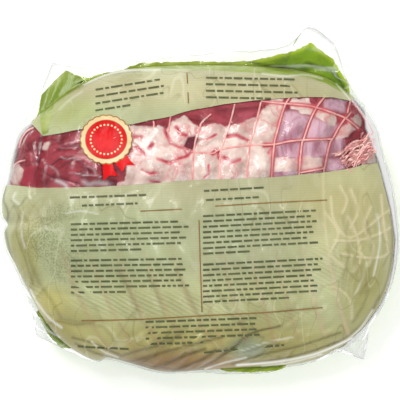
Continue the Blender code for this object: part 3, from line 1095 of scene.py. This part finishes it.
def moist_meat(settings):
    """Moist raw lamb: muscle with fine fibres, silverskin, fat and crimson seams, with painted
    shade in its creases and pits and beside the strings.
    """
    look = Look("moist_meat")
    fibre = look.noise(120.0, 5.0, (0.35, 1.0, 1.0), 0.6, 0.4)
    patch = look.noise(45.0, 3.0, EVEN, 0.5, 0.6)
    streak = look.noise(90.0, 4.0, (1.0, 0.3, 1.0), 0.6, 1.0)
    lumps = look.noise(110.0, 4.0, EVEN, 0.6, 0.3)
    crack = look.ridges(0.06, 75.0, 3.0, (1.0, 1.3, 1.0), 0.5, 0.7)
    fat = look.layered(
        look.mixed(look.ramp(lumps, 0.3, 0.7), (202, 172, 162), (238, 224, 214)),
        (look.ramp(look.noise(55.0, 3.0), 0.55, 0.8), (212, 160, 158)),
        (look.times(crack, look.ramp(look.noise(40.0, 2.0), 0.46, 0.6)), (216, 158, 154)),
    )
    flesh = look.layered(
        look.mixed(look.ramp(fibre, 0.35, 0.65), (120, 24, 38), (168, 60, 72)),
        (look.ramp(patch, 0.5, 0.75), (188, 88, 102)),
        (
            look.zone("silverskin", 70.0, 7.0, -1.5, 2.5),
            look.mixed(look.ramp(streak, 0.35, 0.62), (168, 112, 130), (216, 180, 192)),
        ),
        (look.zone("fat", 160.0, 5.0, -0.7, 0.7), fat),
        (look.zone("bloody", 150.0, 5.0, -1.0, 1.0), (164, 44, 62)),
        (look.zone("red_seam", 130.0, 3.4, 1.9, 0.2), (206, 100, 110)),
        (look.zone("red_seam", 130.0, 3.4, 0.5, -0.3), (150, 26, 48)),
        # Painted shade beside the strings, where they sink into the meat
        (look.zone("string", 90.0, 2.0, 2.2, 0.4), (206, 92, 104)),
        # Painted shade in the creases and pits
        (look.zone("dark", 180.0, 1.0, 1.0, 0.0), (104, 18, 38)),
    )
    shader = look.surface(
        flesh,
        settings.roughness,
        Specular_IOR_Level=0.35,
        Coat_Weight=0.2,
        Coat_Roughness=0.1,
        Subsurface_Weight=0.08,
        Subsurface_Radius=(0.004, 0.0015, 0.001),
        Subsurface_Scale=1.0,
        Normal=look.bump(look.add(lumps, look.times(fibre, 0.6)), 0.0012, 0.7),
    )
    return look.finished(shader)


def elastic_string():
    """White elastic string, stained pink by the meat."""
    look = Look("elastic_string")
    stain = look.ramp(look.noise(160.0, 3.0), 0.35, 0.7)
    colour = look.mixed(stain, (244, 196, 186), (226, 146, 144))
    twist = look.bump(look.noise(1400.0, 2.0, (1.0, 0.4, 1.0)), 0.0003, 0.6)
    return look.finished(
        look.surface(colour, 0.55, Coat_Weight=0.3, Coat_Roughness=0.2, Normal=twist)
    )


def flat_ink(name, first, second, scale=90.0):
    """Print of one colour with slight unevenness, under gloss."""
    look = Look(name)
    colour = look.mixed(look.ramp(look.noise(scale, 3.0), 0.35, 0.65), first, second)
    shader = look.surface(colour, 0.4, Specular_IOR_Level=0.15, Normal=look.crinkle())
    return look.finished(shader)


def all_strings():
    """Every string of the net, as smooth lines on the pack."""
    lines = []
    for points in LONG_STRINGS:
        knots = [tuple(point) for point in photo(points)]
        low_x, low_y = knots[-1]
        for down in STEPS_BELOW:
            knots.append((low_x + string_bow(low_y - down) * LEAN_BELOW, low_y - down))
        lines.append(smooth_line(knots))
    for turn, top in HIDDEN_STRINGS:
        y = np.linspace(*STRING_SPAN)
        x = STRING_SHIFT + turn * STRING_PITCH + string_bow(y)
        lines.append(np.stack([x, y], axis=1)[y < top])
    for points in (*CROSS_STRINGS, *SIDE_STRINGS):
        lines.append(smooth_line(photo(points)))
    return [inside_seam(line) for line in lines]


def in_window(line):
    """The stretch of a line that the window shows, and a little more."""
    return line[inside_distance(*line.T, WINDOW) > -WINDOW_MARGIN]


def inside_seam(line):
    """The stretch of a line that lies well inside the seam."""
    bearings, distances = from_middle(*line.T)
    return line[distances / seam_reach(bearings) < WELL_INSIDE]


def tangle():
    """Wavy strands of the net, drawn together beside the knot, in the photograph's pixels."""
    random = np.random.default_rng(11)
    strands = []
    for turn in range(TANGLE_STRANDS):
        share = (turn + 0.5) / TANGLE_STRANDS
        start = np.array(TANGLE_START) + (share - 0.5) * np.array(TANGLE_SPREAD)
        end = np.array(TANGLE_END) + (share - 0.5) * TANGLE_TAPER * np.array(TANGLE_SPREAD)
        end = end + random.normal(0.0, TANGLE_STRAY, 2)
        along = np.linspace(random.uniform(*TANGLE_FROM), random.uniform(*TANGLE_TO), 12)
        run = end - start
        across = np.array((-run[1], run[0])) / np.hypot(*run)
        phase, waves = random.uniform(0.0, math.tau), random.uniform(*TANGLE_WAVES)
        sway = TANGLE_SWAY * np.sin(along * waves * math.tau + phase)
        strands.append(start + along[:, None] * run + sway[:, None] * across)
    return strands


def string_distance(x, y):
    lines = [line[::3] for line in all_strings() if len(line) > 1]
    return np.minimum.reduce([line_distance(x, y, line) for line in lines])


def tube(line, height, radius, sides=8):
    """Points and faces of a round string along a line on the pack."""
    centre = np.column_stack([line, height])
    ahead = directions(centre)
    side = np.cross(ahead, (0.0, 0.0, 1.0))
    side /= np.linalg.norm(side, axis=1)[:, None]
    up = np.cross(side, ahead)
    turns = np.arange(sides)[None, :, None] / sides * math.tau
    ring = side[:, None] * np.cos(turns) + up[:, None] * np.sin(turns)
    points = (centre[:, None] + ring * radius).reshape(-1, 3)
    return points, woven(len(line), sides)[:, (0, 3, 2, 1)]


def resampled(line, step):
    """The line with its points a step apart."""
    lengths = np.concatenate([[0.0], np.cumsum(np.hypot(*np.diff(line, axis=0).T))])
    along = np.linspace(0.0, lengths[-1], max(3, int(lengths[-1] / step)))
    return np.stack([np.interp(along, lengths, line[:, axis]) for axis in (0, 1)], axis=1)


def meat_height(x, y, string, seams, fat):
    """Height of the meat under the film, lower along the strings and the seams."""
    groove = fading(string, *STRING_GROOVE) + fading(seams, *SEAM_GROOVE)
    pad = FAT_PAD * np.clip(fat / FAT_EDGE, -1.0, 1.0)
    at_x, at_y = photo(TANGLE_MIDDLE)
    hollow = TANGLE_DEPTH * np.exp(-((x - at_x) ** 2 + (y - at_y) ** 2) / TANGLE_HOLLOW**2)
    covered = MEAT_DROP * grown(-inside_distance(x, y, WINDOW), *MEAT_DROP_FROM)
    return dome_height(x, y) - MEAT_GAP - groove + pad - hollow - covered


class FilmSettings(bpy.types.PropertyGroup):
    roughness: bpy.props.FloatProperty(
        name="Roughness",
        description="Roughness of the printed film under its gloss",
        default=0.32,
        min=0.0,
        max=1.0,
        subtype="FACTOR",
    )
    cells: bpy.props.IntProperty(
        name="Cells", description="Cells along each side of the crown's grid", default=200, min=20
    )


class MeatSettings(bpy.types.PropertyGroup):
    roughness: bpy.props.FloatProperty(
        name="Roughness",
        description="Roughness of the moist meat",
        default=0.35,
        min=0.0,
        max=1.0,
        subtype="FACTOR",
    )
    cells: bpy.props.IntProperty(
        name="Cells", description="Cells along each side of the crown's grid", default=230, min=20
    )


class NetSettings(bpy.types.PropertyGroup):
    diameter: bpy.props.FloatProperty(
        name="Diameter",
        description="Diameter of the net's elastic string",
        default=0.0013,
        unit="LENGTH",
    )


class StageSettings(bpy.types.PropertyGroup):
    distance: bpy.props.FloatProperty(
        name="Distance",
        description="Height of the camera above the floor",
        default=4.0,
        unit="LENGTH",
    )


class LAMB_OT_meat(bpy.types.Operator):
    """Make the netted meat, with its fat, seams and silverskin"""

    bl_idname = "lamb_pack.meat"
    bl_label = "Meat"

    def execute(self, context):
        settings = context.scene.lamb_meat
        bearings, share, faces = disc(settings.cells, CROWN_SHARE, OUTER_SHARES)
        inset = MEAT_INSET + KNOT_INSET * around(bearings, *KNOT_BEARINGS)
        x, y = placed(bearings, seam_reach(bearings) * share * (1 - inset * share**4))
        values = {
            "string": string_distance(x, y) + PALE_BESIDE * (x < photo(RIGHT_OF_FAT)[0]),
            "red_seam": nearest_line(x, y, CRIMSON_SEAMS),
            "dark": np.minimum(
                nearest_line(x, y, CREASE_SHADE_LINES), PIT_EDGE - deepest_inside(x, y, SHADED_PITS)
            ),
            "fat": deepest_inside(x, y, FAT_MASSES),
            "bloody": deepest_inside(x, y, BLOODY),
            "silverskin": deepest_inside(x, y, SILVERSKIN),
        }
        seams = np.minimum(values["red_seam"], np.maximum(values["dark"], 0.0))
        height = meat_height(x, y, values["string"], seams, values["fat"])
        made = np.column_stack([x, y, height]), faces
        make_piece("lamb_meat", made, moist_meat(settings), values)
        return {"FINISHED"}


class LAMB_OT_net(bpy.types.Operator):
    """Make the strings of the net, and the bundle where they are tied"""

    bl_idname = "lamb_pack.net"
    bl_label = "Net"

    def execute(self, context):
        radius = context.scene.lamb_net.diameter / MM / 2
        material = elastic_string()
        lines = [in_window(line) for line in all_strings()]
        lines = [resampled(line, STRING_STEP) for line in lines if len(line) > 2]
        tubes = [tube(line, dome_height(*line.T) - radius * STRING_SINK, radius) for line in lines]
        make_piece("net_strings", joined(tubes), material)
        lines = [smooth_line(photo(part)) for part in (*BUNDLE_STRINGS, *tangle())]
        lines = [resampled(inside_seam(line), BUNDLE_STEP) for line in lines]
        tubes = []
        for turn, line in enumerate(line for line in lines if len(line) > 4):
            sway = BUNDLE_SWAY * np.sin(line[:, 0] * BUNDLE_WAVES + turn)
            depth = BUNDLE_DEPTH + BUNDLE_LAYER * (turn % BUNDLE_LAYERS) + sway
            height = dome_height(*line.T) - depth
            tubes.append(tube(line, height, radius))
        make_piece("net_bundle", joined(tubes), material)
        return {"FINISHED"}


def print_tint_and_shade(x, y):
    """Colour of the back panel's print at each place, as light, with painted shade towards the
    left and bottom edges.
    """
    tint = np.tile(np.array(PAPER, float), (len(x), 1))
    for *field, colour in PRINT_AND_SHADE_FIELDS:
        weight = np.exp(-(oval(x, y, *field) ** 1.5))[:, None]
        tint += (np.array(colour, float) - tint) * weight
    return np.column_stack([as_light(tint / 255), np.ones(len(x))])


def film_haze_and_painted_light(x, y, share):
    """How milky the clear film is, with painted light: painted white at the right-hand hem, round
    the window's rim and along the painted highlights, and milky on the loose film, most along its
    edge.
    """
    hem = HEM_PAINTED_LIGHT * grown(-inside_distance(x, y, PRINT_RIGHT), 0.0, HEM_PAINTED_LIGHT_RUN)
    rim = fading(1 - share, *RIM_PAINTED_LIGHT) * (inside_distance(x, y, WINDOW) > -2.0)
    loose = LOOSE_HAZE * (share > 1) * (inside_distance(x, y, GREEN_EDGE) < 0)
    edge = fading(2 - share, *EDGE_HAZE)
    painted_gleams = line_weight(x, y, PAINTED_HIGHLIGHTS)
    return np.maximum.reduce([hem * (share <= HEM_END), edge, rim, loose, painted_gleams])


def film_creased(share):
    """How grey and creased the clear film is: on the loose film, and most at its edge."""
    return (share > 1.001) * (LOOSE_CREASED + fading(2 - share, *EDGE_CREASED))


def film_wrinkles(x, y):
    """Height of the film's soft wrinkles: short ridges laid at random in a few places."""
    random = np.random.default_rng(5)
    height = np.zeros_like(x)
    for middle, spread, bearing, count, rise in WRINKLE_PLACES:
        at = photo(middle)
        for _ in range(count):
            off = random.normal(0.0, 1.0, 2) * np.array(spread) * PHOTO_SCALE
            turn = math.radians(bearing + random.normal(0.0, WRINKLE_TURN))
            long, wide = random.uniform(*WRINKLE_LENGTHS), random.uniform(*WRINKLE_WIDTHS)
            off_x, off_y = x - at[0] - off[0], y - at[1] - off[1]
            along = off_x * math.cos(turn) + off_y * math.sin(turn)
            across = off_y * math.cos(turn) - off_x * math.sin(turn)
            shape = np.exp(-((along / long) ** 2) - (across / wide) ** 2)
            signed = random.uniform(*WRINKLE_RISES) * random.choice((-1.0, 1.0))
            height += rise * signed * shape
    return height


def film_places(bearings, share):
    """Places of the film, and heights of the loose film, which has shares from one to two."""
    seam = seam_reach(bearings)
    past = np.clip(share - 1, 0.0, 1.0)
    reach = np.minimum(share, 1.0) * seam + past * (film_reach(bearings) - seam)
    return *placed(bearings, reach), loose_height(bearings, reach, past)


class LAMB_OT_back_film(bpy.types.Operator):
    """Make the bag's back panel, clear in its window and printed round it"""

    bl_idname = "lamb_pack.back_film"
    bl_label = "Back film"

    def execute(self, context):
        settings = context.scene.lamb_film
        shares = np.concatenate([OUTER_SHARES, LOOSE_SHARES])
        bearings, share, faces = disc(settings.cells, CROWN_SHARE, shares)
        x, y, loose = film_places(bearings, share)
        string = string_distance(x, y)
        strand = nearest_line(x, y, SHOWN_STRANDS, 5)
        shown = inside_distance(x, y, WINDOW)
        wrinkles = film_wrinkles(x, y)
        wrinkles = np.where(
            shown > -WINDOW_MARGIN,
            np.clip(wrinkles, *WINDOW_WRINKLES),
            np.clip(wrinkles, *PRINT_WRINKLES),
        )
        ridge = fading(string, *STRING_RIDGE) + fading(strand, *STRAND_RIDGE)
        on_dome = dome_height(x, y) + ridge
        off_dome = loose + FILM_THICKNESS / 2 + LOOSE_LIFT
        height = np.where(share <= 1, on_dome, off_dome) + wrinkles
        ink = np.minimum(inside_distance(x, y, PRINT_RIGHT), -shown)
        ink = np.minimum(ink, PRINT_PAST_SEAM + (1 - share) * SHARE_LENGTH)
        strip = inside_distance(x, y, EAR_STRIP)
        right = grown(x, *SHOWN_RIGHT) * (share <= 1)
        values = {
            "ink": np.maximum(ink, strip),
            "tint": print_tint_and_shade(x, y),
            "green": np.maximum(inside_distance(x, y, ABOVE_CREST), strip),
            "net_show": np.maximum(
                right * fading(string, *STRING_SHOWN), fading(strand, *STRAND_SHOWN)
            ),
            "stained": grown(-y, *STAINED_BELOW) * fading(string, *STRING_STAIN),
            "hatched": field_weight(x, y, HATCHED),
            "speckled": field_weight(x, y, SPECKLED),
            # Painted shade in the film's folds, and painted highlights
            "fold": line_weight(x, y, FOLD_SHADE_LINES),
            "gleam": line_weight(x, y, PAINTED_HIGHLIGHTS),
            "haze": film_haze_and_painted_light(x, y, share),
            "creased": film_creased(share),
        }
        made = np.column_stack([x, y, height]), faces
        make_piece("back_film", made, back_print(settings), values)
        return {"FINISHED"}


class LAMB_OT_front_film(bpy.types.Operator):
    """Make the bag's front panel, which it lies on, with the loose green film"""

    bl_idname = "lamb_pack.front_film"
    bl_label = "Front film"

    def execute(self, context):
        settings = context.scene.lamb_film
        shares = np.concatenate([BELLY_SHARES, LOOSE_SHARES])
        bearings, share, faces = disc(FRONT_CELLS, RESTING_SHARE, shares)
        x, y, loose = film_places(bearings, share)
        part = grown(share, RESTING_SHARE, 1 - RESTING_SHARE)
        rise = 1 - (1 - part**BELLY_ROUNDNESS) ** (1 / BELLY_ROUNDNESS)
        under = rise * (seam_height(bearings) - FILM_THICKNESS / 2)
        height = np.where(share <= 1, under, loose - FILM_THICKNESS / 2)
        values = {
            "ink": np.minimum(
                np.where(share < 1, WELL_PRINTED, inside_distance(x, y, GREEN_EDGE)),
                np.where(share > 0.8, inside_distance(x, y, PRINT_RIGHT) + 0.5, WELL_PRINTED),
            ),
            "haze": film_haze_and_painted_light(x, y, share) * FRONT_HAZE,
            "creased": film_creased(share),
            # Painted shade in the green film's folds
            "fold": line_weight(x, y, FOLD_SHADE_LINES),
            "olive": OLIVE * grown(y, *OLIVE_ABOVE) * grown(-x, *OLIVE_LEFT),
        }
        made = np.column_stack([x, y, height]), faces[:, ::-1]
        make_piece("front_film", made, front_print(settings), values)
        return {"FINISHED"}


def on_film(points, lift):
    """Points over these places, at this height over the film."""
    return np.column_stack([points, dome_height(*points.T) + lift])


def draped(outline, rings, lift, middle=None):
    """A flat shape of the given outline that lies on the film: points and faces."""
    middle = outline.mean(axis=0) if middle is None else middle
    loops = [middle + (outline - middle) * share for share in rings]
    return on_film(np.concatenate(loops), lift), woven(len(rings), len(outline))


def draped_outline(points, lift):
    """A small flat shape on the film, with straight sides between its corners."""
    ring = np.vstack([points, points[:1]])
    shares = np.linspace(0, 1, 6, endpoint=False)[:, None]
    sides = [start + shares * (end - start) for start, end in zip(ring[:-1], ring[1:])]
    return draped(np.concatenate(sides), np.linspace(0.02, 1.0, 6), lift)


class LAMB_OT_seal(bpy.types.Operator):
    """Make the printed round seal with its scalloped border and ribbon tails"""

    bl_idname = "lamb_pack.seal"
    bl_label = "Round seal"

    def execute(self, context):
        turns = np.linspace(0.0, math.tau, 288, endpoint=False)
        rounded = np.stack([np.cos(turns), SEAL_FLATNESS * np.sin(turns)], axis=1)
        middle = photo(SEAL_MIDDLE)
        inks = {name: flat_ink(f"seal_{name}", *ink) for name, ink in SEAL_INKS.items()}
        flute = np.abs(np.cos(turns * SEAL_SCALLOPS / 2))[:, None]
        heart = 0.5 + 0.05 * np.sin(turns * 5)[:, None]
        # Name, radius, first and last share and number of the rings, lift, ink
        layers = (
            ("seal_rim", SEAL_BORDER + 0.8 * flute, (0.72, 1.0, 9), 0.35, "gold"),
            ("seal_border", SEAL_BORDER - 0.7 + 0.75 * flute, (0.72, 1.0, 9), 0.42, "cream"),
            ("seal_line", SEAL_RADIUS + 0.35, (0.9, 1.0, 4), 0.47, "gold"),
            ("seal_disc", SEAL_RADIUS, (0.002, 1.0, 18), 0.52, "red"),
            ("seal_heart", SEAL_RADIUS * heart, (0.002, 1.0, 10), 0.57, "bright"),
        )
        for name, radius, rings, lift, ink in layers:
            made = draped(middle + rounded * radius, np.linspace(*rings), lift, middle)
            make_piece(name, made, inks[ink])
        dot = DOT_RADIUS * np.stack([np.cos(turns[::24]), np.sin(turns[::24])], axis=1)
        dots = []
        for turn in np.arange(SEAL_DOTS) / SEAL_DOTS * math.tau:
            at = DOT_CIRCLE * np.array((math.cos(turn), SEAL_FLATNESS * math.sin(turn)))
            dots.append(draped(middle + at + dot, (0.02, 1.0), DOT_LIFT))
        make_piece("seal_dots", joined(dots), inks["cream"])
        tails = [draped_outline(photo(tail), RIBBON_LIFT) for tail in RIBBON_TAILS]
        make_piece("seal_ribbon", joined(tails), inks["bright"])
        return {"FINISHED"}


def strips(lines, half_width, lift, step=2.5):
    """Points and faces of narrow strips along lines on the pack, lying on the film."""
    parts = []
    for line in lines:
        line = resampled(line, step)
        ahead = directions(line)
        side = np.stack([-ahead[:, 1], ahead[:, 0]], axis=1) * half_width
        points = np.stack([line - side, line, line + side], axis=1).reshape(-1, 2)
        parts.append((points, woven(len(line), 3, closed=False)))
    points, faces = joined(parts)
    return on_film(points, lift), faces


def word_bars(block, random):
    """Short plain bars in rows, as pieces of lines on the pack."""
    (left, top), (right, end_top), rows, pitch = block
    slope = (end_top - top) / (right - left)
    bars = []
    for row in range(rows):
        width = (right - left) * (1.0 if row < rows - 1 else random.uniform(*LAST_ROW_SHARE))
        width *= random.uniform(*ROW_SHARE)
        at = 0.0
        while at < width - LEAST_WORD:
            long = min(random.uniform(*WORD_LENGTHS), width - at)
            ends = np.array((at, at + long))
            bars.append(photo(np.stack([left + ends, top + row * pitch + ends * slope], axis=1)))
            at += long + WORD_GAP
    return bars


class LAMB_OT_print(bpy.types.Operator):
    """Make the ochre rules and the rows of plain bars"""

    bl_idname = "lamb_pack.print"
    bl_label = "Rules and rows"

    def execute(self, context):
        ochre = flat_ink("ochre_ink", *OCHRE)
        rules = strips([photo(line) for line in RULES], *RULE_SIZE)
        make_piece("printed_rules", rules, ochre)
        random = np.random.default_rng(7)
        olive = flat_ink("olive_ink", *OLIVE_GREY)
        bars = [bar for block in ROW_BLOCKS for bar in word_bars(block, random)]
        make_piece("small_rows", strips(bars, *ROW_SIZE), olive)
        return {"FINISHED"}


class LAMB_OT_stage(bpy.types.Operator):
    """Make the floor, the lights and the camera"""

    bl_idname = "lamb_pack.stage"
    bl_label = "Stage"

    def execute(self, context):
        scene = context.scene
        look = Look("pale_floor")
        glow = {"Emission_Color": WHITE_LIGHT, "Emission_Strength": FLOOR_GLOW}
        data = bpy.data.meshes.new("floor")
        side = FLOOR_SIDE / 2
        corners = [(-side, -side, 0), (side, -side, 0), (side, side, 0), (-side, side, 0)]
        data.from_pydata(corners, [], [(0, 1, 2, 3)])
        data.materials.append(look.finished(look.surface(FLOOR_LIGHT, 0.9, **glow)))
        new_object("floor", data)
        world = bpy.data.worlds.new("studio")
        world.use_nodes = True
        background = world.node_tree.nodes["Background"]
        background.inputs["Color"].default_value = WHITE_LIGHT
        background.inputs["Strength"].default_value = WORLD_STRENGTH
        scene.world = world
        for light in LIGHTS:
            soft_light(*light)
        camera = bpy.data.cameras.new("camera")
        camera.sensor_width = camera.sensor_height = SENSOR
        distance = scene.lamb_stage.distance
        view = 2 * PHOTO_MIDDLE * PHOTO_SCALE * MM
        camera.lens = camera.sensor_width * (distance - SEAM_HEIGHT * MM) / view
        scene.camera = new_object("camera", camera)
        scene.camera.location = (-BOX_MIDDLE[0] * MM, -BOX_MIDDLE[1] * MM, distance)
        scene.view_settings.view_transform = "Standard"
        return {"FINISHED"}


def soft_light(name, place, size, power):
    light = bpy.data.lights.new(name, "AREA")
    light.size = size
    light.energy = power
    holder = new_object(name, light)
    holder.location = place
    towards = np.array(LIGHTS_AIM) - place
    yaw = math.atan2(towards[1], towards[0])
    pitch = math.atan2(-towards[2], math.hypot(towards[0], towards[1]))
    holder.rotation_euler = (0.0, pitch - math.pi / 2, yaw)


OPERATORS = (
    LAMB_OT_meat,
    LAMB_OT_net,
    LAMB_OT_front_film,
    LAMB_OT_back_film,
    LAMB_OT_seal,
    LAMB_OT_print,
    LAMB_OT_stage,
)
GROUPS = {
    "lamb_film": FilmSettings,
    "lamb_meat": MeatSettings,
    "lamb_net": NetSettings,
    "lamb_stage": StageSettings,
}


class LAMB_PT_panel(bpy.types.Panel):
    bl_label = "Lamb pack"
    bl_idname = "LAMB_PT_panel"
    bl_space_type = "VIEW_3D"
    bl_region_type = "UI"
    bl_category = "Lamb pack"

    def draw(self, context):
        for name, group in GROUPS.items():
            for key in group.__annotations__:
                self.layout.prop(getattr(context.scene, name), key)
        for operator in OPERATORS:
            self.layout.operator(operator.bl_idname)


def register():
    for kind in (*GROUPS.values(), *OPERATORS, LAMB_PT_panel):
        bpy.utils.register_class(kind)
    for name, group in GROUPS.items():
        setattr(bpy.types.Scene, name, bpy.props.PointerProperty(type=group))


def unregister():
    for name in GROUPS:
        delattr(bpy.types.Scene, name)
    for kind in (LAMB_PT_panel, *reversed(OPERATORS), *reversed(GROUPS.values())):
        bpy.utils.unregister_class(kind)


def main():
    register()
    bpy.ops.lamb_pack.meat()
    bpy.ops.lamb_pack.net()
    bpy.ops.lamb_pack.front_film()
    bpy.ops.lamb_pack.back_film()
    bpy.ops.lamb_pack.seal()
    bpy.ops.lamb_pack.print()
    bpy.ops.lamb_pack.stage()


if __name__ == "__main__":
    main()
